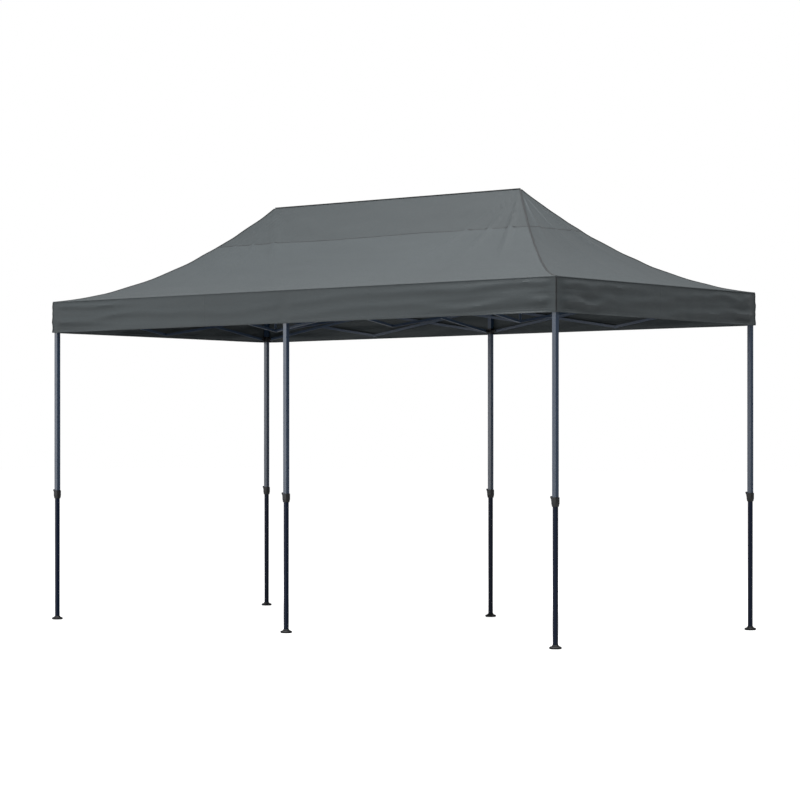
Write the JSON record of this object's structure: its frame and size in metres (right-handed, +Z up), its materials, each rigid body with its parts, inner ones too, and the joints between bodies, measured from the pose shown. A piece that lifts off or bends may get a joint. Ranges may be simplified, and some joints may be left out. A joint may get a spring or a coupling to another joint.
{
  "type": "pop-up canopy tent",
  "caption": "Pop-up canopy tent on poles: hipped fabric roof with a valance, folding scissor frame, telescopic legs with lock collars and feet.",
  "frame": {"origin": "on the ground, at the middle of the rectangle of legs", "axes": "+X along the long side, +Y from the front to the back, +Z up"},
  "size_m": [4.988, 2.5378, 3.279],
  "materials": {
    "canopy_fabric": "coated woven polyester",
    "frame_paint": "hammered powder coat",
    "lower_tube_paint": "powder coat",
    "black_plastic": "moulded"
  },
  "bodies": {
    "centre": {"canopy": "canopy_fabric", "centre_bracket": "black_plastic"},
    "upper_leg_front_left": {"upper_leg_front_left": "frame_paint"},
    "lower_leg_front_left": {"lower_leg_front_left": "lower_tube_paint"},
    "slider_front_left": {"slider_front_left": "black_plastic"},
    "upper_leg_front_middle": {"upper_leg_front_middle": "frame_paint"},
    "lower_leg_front_middle": {"lower_leg_front_middle": "lower_tube_paint"},
    "slider_front_middle": {"slider_front_middle": "black_plastic"},
    "upper_leg_front_right": {"upper_leg_front_right": "frame_paint"},
    "lower_leg_front_right": {"lower_leg_front_right": "lower_tube_paint"},
    "slider_front_right": {"slider_front_right": "black_plastic"},
    "upper_leg_back_left": {"upper_leg_back_left": "frame_paint"},
    "lower_leg_back_left": {"lower_leg_back_left": "lower_tube_paint"},
    "slider_back_left": {"slider_back_left": "black_plastic"},
    "upper_leg_back_middle": {"upper_leg_back_middle": "frame_paint"},
    "lower_leg_back_middle": {"lower_leg_back_middle": "lower_tube_paint"},
    "slider_back_middle": {"slider_back_middle": "black_plastic"},
    "upper_leg_back_right": {"upper_leg_back_right": "frame_paint"},
    "lower_leg_back_right": {"lower_leg_back_right": "lower_tube_paint"},
    "slider_back_right": {"slider_back_right": "black_plastic"},
    "front_left_inner_falling_bar": {"front_left_inner_falling_bar": "frame_paint"},
    "front_left_inner_rising_bar": {"front_left_inner_rising_bar": "frame_paint"},
    "front_left_outer_falling_bar": {"front_left_outer_falling_bar": "frame_paint"},
    "front_left_outer_rising_bar": {"front_left_outer_rising_bar": "frame_paint"},
    "front_right_inner_falling_bar": {"front_right_inner_falling_bar": "frame_paint"},
    "front_right_inner_rising_bar": {"front_right_inner_rising_bar": "frame_paint"},
    "front_right_outer_falling_bar": {"front_right_outer_falling_bar": "frame_paint"},
    "front_right_outer_rising_bar": {"front_right_outer_rising_bar": "frame_paint"},
    "back_left_inner_falling_bar": {"back_left_inner_falling_bar": "frame_paint"},
    "back_left_inner_rising_bar": {"back_left_inner_rising_bar": "frame_paint"},
    "back_left_outer_falling_bar": {"back_left_outer_falling_bar": "frame_paint"},
    "back_left_outer_rising_bar": {"back_left_outer_rising_bar": "frame_paint"},
    "back_right_inner_falling_bar": {"back_right_inner_falling_bar": "frame_paint"},
    "back_right_inner_rising_bar": {"back_right_inner_rising_bar": "frame_paint"},
    "back_right_outer_falling_bar": {"back_right_outer_falling_bar": "frame_paint"},
    "back_right_outer_rising_bar": {"back_right_outer_rising_bar": "frame_paint"},
    "left_end_front_falling_bar": {"left_end_front_falling_bar": "frame_paint"},
    "left_end_front_rising_bar": {"left_end_front_rising_bar": "frame_paint"},
    "left_end_back_falling_bar": {"left_end_back_falling_bar": "frame_paint"},
    "left_end_back_rising_bar": {"left_end_back_rising_bar": "frame_paint"},
    "right_end_front_falling_bar": {"right_end_front_falling_bar": "frame_paint"},
    "right_end_front_rising_bar": {"right_end_front_rising_bar": "frame_paint"},
    "right_end_back_falling_bar": {"right_end_back_falling_bar": "frame_paint"},
    "right_end_back_rising_bar": {"right_end_back_rising_bar": "frame_paint"},
    "middle_front_falling_bar": {"middle_front_falling_bar": "frame_paint"},
    "middle_front_rising_bar": {"middle_front_rising_bar": "frame_paint"},
    "middle_back_falling_bar": {"middle_back_falling_bar": "frame_paint"},
    "middle_back_rising_bar": {"middle_back_rising_bar": "frame_paint"},
    "mid_bracket_front_left": {"mid_bracket_front_left": "black_plastic"},
    "mid_bracket_front_right": {"mid_bracket_front_right": "black_plastic"},
    "mid_bracket_back_left": {"mid_bracket_back_left": "black_plastic"},
    "mid_bracket_back_right": {"mid_bracket_back_right": "black_plastic"},
    "peak_arm_left_inner": {"peak_arm_left_inner": "frame_paint"},
    "peak_arm_right_inner": {"peak_arm_right_inner": "frame_paint"},
    "peak_arm_left_front": {"peak_arm_left_front": "frame_paint"},
    "peak_arm_right_front": {"peak_arm_right_front": "frame_paint"},
    "peak_arm_left_back": {"peak_arm_left_back": "frame_paint"},
    "peak_arm_right_back": {"peak_arm_right_back": "frame_paint"},
    "peak_pole_left": {"peak_pole_left": "frame_paint"},
    "peak_pole_right": {"peak_pole_right": "frame_paint"}
  },
  "joints": [
    {"name": "fold", "type": "hinge", "parent": "centre", "child": "middle_front_falling_bar", "pos_m": [0, 0, 2.48], "axis": [1, 0, 0], "range_deg": [0, 78]},
    {"name": "middle_front_cross_pivot", "type": "hinge", "parent": "middle_front_falling_bar", "child": "middle_front_rising_bar", "pos_m": [0, -0.585, 2.39], "axis": [1, 0, 0], "range_deg": [-156, 0]},
    {"name": "upper_leg_front_middle_pivot", "type": "hinge", "parent": "middle_front_rising_bar", "child": "upper_leg_front_middle", "pos_m": [0, -1.17, 2.48], "axis": [1, 0, 0], "range_deg": [0, 78]},
    {"name": "slider_front_middle_pivot", "type": "hinge", "parent": "middle_front_falling_bar", "child": "slider_front_middle", "pos_m": [0, -1.17, 2.3], "axis": [1, 0, 0], "range_deg": [-78, 0]},
    {"name": "middle_back_falling_bar_pivot", "type": "hinge", "parent": "centre", "child": "middle_back_falling_bar", "pos_m": [0, 0, 2.48], "axis": [-1, 0, 0], "range_deg": [0, 78]},
    {"name": "middle_back_cross_pivot", "type": "hinge", "parent": "middle_back_falling_bar", "child": "middle_back_rising_bar", "pos_m": [0, 0.585, 2.39], "axis": [-1, 0, 0], "range_deg": [-156, 0]},
    {"name": "upper_leg_back_middle_pivot", "type": "hinge", "parent": "middle_back_rising_bar", "child": "upper_leg_back_middle", "pos_m": [0, 1.17, 2.48], "axis": [-1, 0, 0], "range_deg": [0, 78]},
    {"name": "slider_back_middle_pivot", "type": "hinge", "parent": "middle_back_falling_bar", "child": "slider_back_middle", "pos_m": [0, 1.17, 2.3], "axis": [-1, 0, 0], "range_deg": [-78, 0]},
    {"name": "front_left_inner_falling_bar_pivot", "type": "hinge", "parent": "upper_leg_front_middle", "child": "front_left_inner_falling_bar", "pos_m": [-0.055, -1.225, 2.48], "axis": [0, -1, 0], "range_deg": [0, 78]},
    {"name": "front_left_inner_cross_pivot", "type": "hinge", "parent": "front_left_inner_falling_bar", "child": "front_left_inner_rising_bar", "pos_m": [-0.64, -1.225, 2.39], "axis": [0, -1, 0], "range_deg": [-156, 0]},
    {"name": "mid_bracket_front_left_pivot", "type": "hinge", "parent": "front_left_inner_rising_bar", "child": "mid_bracket_front_left", "pos_m": [-1.225, -1.225, 2.48], "axis": [0, -1, 0], "range_deg": [0, 78]},
    {"name": "front_right_inner_falling_bar_pivot", "type": "hinge", "parent": "upper_leg_front_middle", "child": "front_right_inner_falling_bar", "pos_m": [0.055, -1.225, 2.48], "axis": [0, 1, 0], "range_deg": [0, 78]},
    {"name": "front_right_inner_cross_pivot", "type": "hinge", "parent": "front_right_inner_falling_bar", "child": "front_right_inner_rising_bar", "pos_m": [0.64, -1.225, 2.39], "axis": [0, 1, 0], "range_deg": [-156, 0]},
    {"name": "mid_bracket_front_right_pivot", "type": "hinge", "parent": "front_right_inner_rising_bar", "child": "mid_bracket_front_right", "pos_m": [1.225, -1.225, 2.48], "axis": [0, 1, 0], "range_deg": [0, 78]},
    {"name": "back_left_inner_falling_bar_pivot", "type": "hinge", "parent": "upper_leg_back_middle", "child": "back_left_inner_falling_bar", "pos_m": [-0.055, 1.225, 2.48], "axis": [0, -1, 0], "range_deg": [0, 78]},
    {"name": "back_left_inner_cross_pivot", "type": "hinge", "parent": "back_left_inner_falling_bar", "child": "back_left_inner_rising_bar", "pos_m": [-0.64, 1.225, 2.39], "axis": [0, -1, 0], "range_deg": [-156, 0]},
    {"name": "mid_bracket_back_left_pivot", "type": "hinge", "parent": "back_left_inner_rising_bar", "child": "mid_bracket_back_left", "pos_m": [-1.225, 1.225, 2.48], "axis": [0, -1, 0], "range_deg": [0, 78]},
    {"name": "back_right_inner_falling_bar_pivot", "type": "hinge", "parent": "upper_leg_back_middle", "child": "back_right_inner_falling_bar", "pos_m": [0.055, 1.225, 2.48], "axis": [0, 1, 0], "range_deg": [0, 78]},
    {"name": "back_right_inner_cross_pivot", "type": "hinge", "parent": "back_right_inner_falling_bar", "child": "back_right_inner_rising_bar", "pos_m": [0.64, 1.225, 2.39], "axis": [0, 1, 0], "range_deg": [-156, 0]},
    {"name": "mid_bracket_back_right_pivot", "type": "hinge", "parent": "back_right_inner_rising_bar", "child": "mid_bracket_back_right", "pos_m": [1.225, 1.225, 2.48], "axis": [0, 1, 0], "range_deg": [0, 78]},
    {"name": "front_left_outer_falling_bar_pivot", "type": "hinge", "parent": "mid_bracket_front_left", "child": "front_left_outer_falling_bar", "pos_m": [-1.225, -1.225, 2.48], "axis": [0, -1, 0], "range_deg": [0, 78]},
    {"name": "front_left_outer_cross_pivot", "type": "hinge", "parent": "front_left_outer_falling_bar", "child": "front_left_outer_rising_bar", "pos_m": [-1.81, -1.225, 2.39], "axis": [0, -1, 0], "range_deg": [-156, 0]},
    {"name": "upper_leg_front_left_pivot", "type": "hinge", "parent": "front_left_outer_rising_bar", "child": "upper_leg_front_left", "pos_m": [-2.395, -1.225, 2.48], "axis": [0, -1, 0], "range_deg": [0, 78]},
    {"name": "slider_front_left_pivot", "type": "hinge", "parent": "front_left_outer_falling_bar", "child": "slider_front_left", "pos_m": [-2.395, -1.225, 2.3], "axis": [0, -1, 0], "range_deg": [-78, 0]},
    {"name": "front_right_outer_falling_bar_pivot", "type": "hinge", "parent": "mid_bracket_front_right", "child": "front_right_outer_falling_bar", "pos_m": [1.225, -1.225, 2.48], "axis": [0, 1, 0], "range_deg": [0, 78]},
    {"name": "front_right_outer_cross_pivot", "type": "hinge", "parent": "front_right_outer_falling_bar", "child": "front_right_outer_rising_bar", "pos_m": [1.81, -1.225, 2.39], "axis": [0, 1, 0], "range_deg": [-156, 0]},
    {"name": "upper_leg_front_right_pivot", "type": "hinge", "parent": "front_right_outer_rising_bar", "child": "upper_leg_front_right", "pos_m": [2.395, -1.225, 2.48], "axis": [0, 1, 0], "range_deg": [0, 78]},
    {"name": "slider_front_right_pivot", "type": "hinge", "parent": "front_right_outer_falling_bar", "child": "slider_front_right", "pos_m": [2.395, -1.225, 2.3], "axis": [0, 1, 0], "range_deg": [-78, 0]},
    {"name": "back_left_outer_falling_bar_pivot", "type": "hinge", "parent": "mid_bracket_back_left", "child": "back_left_outer_falling_bar", "pos_m": [-1.225, 1.225, 2.48], "axis": [0, -1, 0], "range_deg": [0, 78]},
    {"name": "back_left_outer_cross_pivot", "type": "hinge", "parent": "back_left_outer_falling_bar", "child": "back_left_outer_rising_bar", "pos_m": [-1.81, 1.225, 2.39], "axis": [0, -1, 0], "range_deg": [-156, 0]},
    {"name": "upper_leg_back_left_pivot", "type": "hinge", "parent": "back_left_outer_rising_bar", "child": "upper_leg_back_left", "pos_m": [-2.395, 1.225, 2.48], "axis": [0, -1, 0], "range_deg": [0, 78]},
    {"name": "slider_back_left_pivot", "type": "hinge", "parent": "back_left_outer_falling_bar", "child": "slider_back_left", "pos_m": [-2.395, 1.225, 2.3], "axis": [0, -1, 0], "range_deg": [-78, 0]},
    {"name": "back_right_outer_falling_bar_pivot", "type": "hinge", "parent": "mid_bracket_back_right", "child": "back_right_outer_falling_bar", "pos_m": [1.225, 1.225, 2.48], "axis": [0, 1, 0], "range_deg": [0, 78]},
    {"name": "back_right_outer_cross_pivot", "type": "hinge", "parent": "back_right_outer_falling_bar", "child": "back_right_outer_rising_bar", "pos_m": [1.81, 1.225, 2.39], "axis": [0, 1, 0], "range_deg": [-156, 0]},
    {"name": "upper_leg_back_right_pivot", "type": "hinge", "parent": "back_right_outer_rising_bar", "child": "upper_leg_back_right", "pos_m": [2.395, 1.225, 2.48], "axis": [0, 1, 0], "range_deg": [0, 78]},
    {"name": "slider_back_right_pivot", "type": "hinge", "parent": "back_right_outer_falling_bar", "child": "slider_back_right", "pos_m": [2.395, 1.225, 2.3], "axis": [0, 1, 0], "range_deg": [-78, 0]},
    {"name": "left_end_front_falling_bar_pivot", "type": "hinge", "parent": "upper_leg_front_left", "child": "left_end_front_falling_bar", "pos_m": [-2.45, -1.17, 2.48], "axis": [-1, 0, 0], "range_deg": [0, 78]},
    {"name": "left_end_front_cross_pivot", "type": "hinge", "parent": "left_end_front_falling_bar", "child": "left_end_front_rising_bar", "pos_m": [-2.45, -0.585, 2.39], "axis": [-1, 0, 0], "range_deg": [-156, 0]},
    {"name": "left_end_back_falling_bar_pivot", "type": "hinge", "parent": "upper_leg_back_left", "child": "left_end_back_falling_bar", "pos_m": [-2.45, 1.17, 2.48], "axis": [1, 0, 0], "range_deg": [0, 78]},
    {"name": "left_end_back_cross_pivot", "type": "hinge", "parent": "left_end_back_falling_bar", "child": "left_end_back_rising_bar", "pos_m": [-2.45, 0.585, 2.39], "axis": [1, 0, 0], "range_deg": [-156, 0]},
    {"name": "right_end_front_falling_bar_pivot", "type": "hinge", "parent": "upper_leg_front_right", "child": "right_end_front_falling_bar", "pos_m": [2.45, -1.17, 2.48], "axis": [-1, 0, 0], "range_deg": [0, 78]},
    {"name": "right_end_front_cross_pivot", "type": "hinge", "parent": "right_end_front_falling_bar", "child": "right_end_front_rising_bar", "pos_m": [2.45, -0.585, 2.39], "axis": [-1, 0, 0], "range_deg": [-156, 0]},
    {"name": "right_end_back_falling_bar_pivot", "type": "hinge", "parent": "upper_leg_back_right", "child": "right_end_back_falling_bar", "pos_m": [2.45, 1.17, 2.48], "axis": [1, 0, 0], "range_deg": [0, 78]},
    {"name": "right_end_back_cross_pivot", "type": "hinge", "parent": "right_end_back_falling_bar", "child": "right_end_back_rising_bar", "pos_m": [2.45, 0.585, 2.39], "axis": [1, 0, 0], "range_deg": [-156, 0]},
    {"name": "peak_arm_left_inner_pivot", "type": "hinge", "parent": "centre", "child": "peak_arm_left_inner", "pos_m": [-0.03, 0, 2.48], "axis": [0, -1, 0], "range_deg": [0, 78]},
    {"name": "peak_pole_left_pivot", "type": "hinge", "parent": "peak_arm_left_inner", "child": "peak_pole_left", "pos_m": [-1.2, 0, 2.3], "axis": [0, -1, 0], "range_deg": [-78, 0]},
    {"name": "peak_arm_right_inner_pivot", "type": "hinge", "parent": "centre", "child": "peak_arm_right_inner", "pos_m": [0.03, 0, 2.48], "axis": [0, 1, 0], "range_deg": [0, 78]},
    {"name": "peak_pole_right_pivot", "type": "hinge", "parent": "peak_arm_right_inner", "child": "peak_pole_right", "pos_m": [1.2, 0, 2.3], "axis": [0, 1, 0], "range_deg": [-78, 0]},
    {"name": "peak_arm_left_front_pivot", "type": "hinge", "parent": "mid_bracket_front_left", "child": "peak_arm_left_front", "pos_m": [-1.225, -1.195, 2.48], "axis": [-1, 0, 0], "range_deg": [0, 78]},
    {"name": "peak_arm_right_front_pivot", "type": "hinge", "parent": "mid_bracket_front_right", "child": "peak_arm_right_front", "pos_m": [1.225, -1.195, 2.48], "axis": [-1, 0, 0], "range_deg": [0, 78]},
    {"name": "peak_arm_left_back_pivot", "type": "hinge", "parent": "mid_bracket_back_left", "child": "peak_arm_left_back", "pos_m": [-1.225, 1.195, 2.48], "axis": [1, 0, 0], "range_deg": [0, 78]},
    {"name": "peak_arm_right_back_pivot", "type": "hinge", "parent": "mid_bracket_back_right", "child": "peak_arm_right_back", "pos_m": [1.225, 1.195, 2.48], "axis": [1, 0, 0], "range_deg": [0, 78]},
    {"name": "leg_height_front_left", "type": "slide", "parent": "upper_leg_front_left", "child": "lower_leg_front_left", "axis": [0, 0, 1], "range_m": [0, 0.9]},
    {"name": "leg_height_front_middle", "type": "slide", "parent": "upper_leg_front_middle", "child": "lower_leg_front_middle", "axis": [0, 0, 1], "range_m": [0, 0.9]},
    {"name": "leg_height_front_right", "type": "slide", "parent": "upper_leg_front_right", "child": "lower_leg_front_right", "axis": [0, 0, 1], "range_m": [0, 0.9]},
    {"name": "leg_height_back_left", "type": "slide", "parent": "upper_leg_back_left", "child": "lower_leg_back_left", "axis": [0, 0, 1], "range_m": [0, 0.9]},
    {"name": "leg_height_back_middle", "type": "slide", "parent": "upper_leg_back_middle", "child": "lower_leg_back_middle", "axis": [0, 0, 1], "range_m": [0, 0.9]},
    {"name": "leg_height_back_right", "type": "slide", "parent": "upper_leg_back_right", "child": "lower_leg_back_right", "axis": [0, 0, 1], "range_m": [0, 0.9]}
  ],
  "couplings": [
    {"joint": "middle_front_cross_pivot", "follows": "fold", "ratio": -2},
    {"joint": "upper_leg_front_middle_pivot", "follows": "fold", "ratio": 1},
    {"joint": "slider_front_middle_pivot", "follows": "fold", "ratio": -1},
    {"joint": "middle_back_falling_bar_pivot", "follows": "fold", "ratio": 1},
    {"joint": "middle_back_cross_pivot", "follows": "fold", "ratio": -2},
    {"joint": "upper_leg_back_middle_pivot", "follows": "fold", "ratio": 1},
    {"joint": "slider_back_middle_pivot", "follows": "fold", "ratio": -1},
    {"joint": "front_left_inner_falling_bar_pivot", "follows": "fold", "ratio": 1},
    {"joint": "front_left_inner_cross_pivot", "follows": "fold", "ratio": -2},
    {"joint": "mid_bracket_front_left_pivot", "follows": "fold", "ratio": 1},
    {"joint": "front_right_inner_falling_bar_pivot", "follows": "fold", "ratio": 1},
    {"joint": "front_right_inner_cross_pivot", "follows": "fold", "ratio": -2},
    {"joint": "mid_bracket_front_right_pivot", "follows": "fold", "ratio": 1},
    {"joint": "back_left_inner_falling_bar_pivot", "follows": "fold", "ratio": 1},
    {"joint": "back_left_inner_cross_pivot", "follows": "fold", "ratio": -2},
    {"joint": "mid_bracket_back_left_pivot", "follows": "fold", "ratio": 1},
    {"joint": "back_right_inner_falling_bar_pivot", "follows": "fold", "ratio": 1},
    {"joint": "back_right_inner_cross_pivot", "follows": "fold", "ratio": -2},
    {"joint": "mid_bracket_back_right_pivot", "follows": "fold", "ratio": 1},
    {"joint": "front_left_outer_falling_bar_pivot", "follows": "fold", "ratio": 1},
    {"joint": "front_left_outer_cross_pivot", "follows": "fold", "ratio": -2},
    {"joint": "upper_leg_front_left_pivot", "follows": "fold", "ratio": 1},
    {"joint": "slider_front_left_pivot", "follows": "fold", "ratio": -1},
    {"joint": "front_right_outer_falling_bar_pivot", "follows": "fold", "ratio": 1},
    {"joint": "front_right_outer_cross_pivot", "follows": "fold", "ratio": -2},
    {"joint": "upper_leg_front_right_pivot", "follows": "fold", "ratio": 1},
    {"joint": "slider_front_right_pivot", "follows": "fold", "ratio": -1},
    {"joint": "back_left_outer_falling_bar_pivot", "follows": "fold", "ratio": 1},
    {"joint": "back_left_outer_cross_pivot", "follows": "fold", "ratio": -2},
    {"joint": "upper_leg_back_left_pivot", "follows": "fold", "ratio": 1},
    {"joint": "slider_back_left_pivot", "follows": "fold", "ratio": -1},
    {"joint": "back_right_outer_falling_bar_pivot", "follows": "fold", "ratio": 1},
    {"joint": "back_right_outer_cross_pivot", "follows": "fold", "ratio": -2},
    {"joint": "upper_leg_back_right_pivot", "follows": "fold", "ratio": 1},
    {"joint": "slider_back_right_pivot", "follows": "fold", "ratio": -1},
    {"joint": "left_end_front_falling_bar_pivot", "follows": "fold", "ratio": 1},
    {"joint": "left_end_front_cross_pivot", "follows": "fold", "ratio": -2},
    {"joint": "left_end_back_falling_bar_pivot", "follows": "fold", "ratio": 1},
    {"joint": "left_end_back_cross_pivot", "follows": "fold", "ratio": -2},
    {"joint": "right_end_front_falling_bar_pivot", "follows": "fold", "ratio": 1},
    {"joint": "right_end_front_cross_pivot", "follows": "fold", "ratio": -2},
    {"joint": "right_end_back_falling_bar_pivot", "follows": "fold", "ratio": 1},
    {"joint": "right_end_back_cross_pivot", "follows": "fold", "ratio": -2},
    {"joint": "peak_arm_left_inner_pivot", "follows": "fold", "ratio": 1},
    {"joint": "peak_pole_left_pivot", "follows": "fold", "ratio": -1},
    {"joint": "peak_arm_right_inner_pivot", "follows": "fold", "ratio": 1},
    {"joint": "peak_pole_right_pivot", "follows": "fold", "ratio": -1},
    {"joint": "peak_arm_left_front_pivot", "follows": "fold", "ratio": 1},
    {"joint": "peak_arm_right_front_pivot", "follows": "fold", "ratio": 1},
    {"joint": "peak_arm_left_back_pivot", "follows": "fold", "ratio": 1},
    {"joint": "peak_arm_right_back_pivot", "follows": "fold", "ratio": 1}
  ]
}
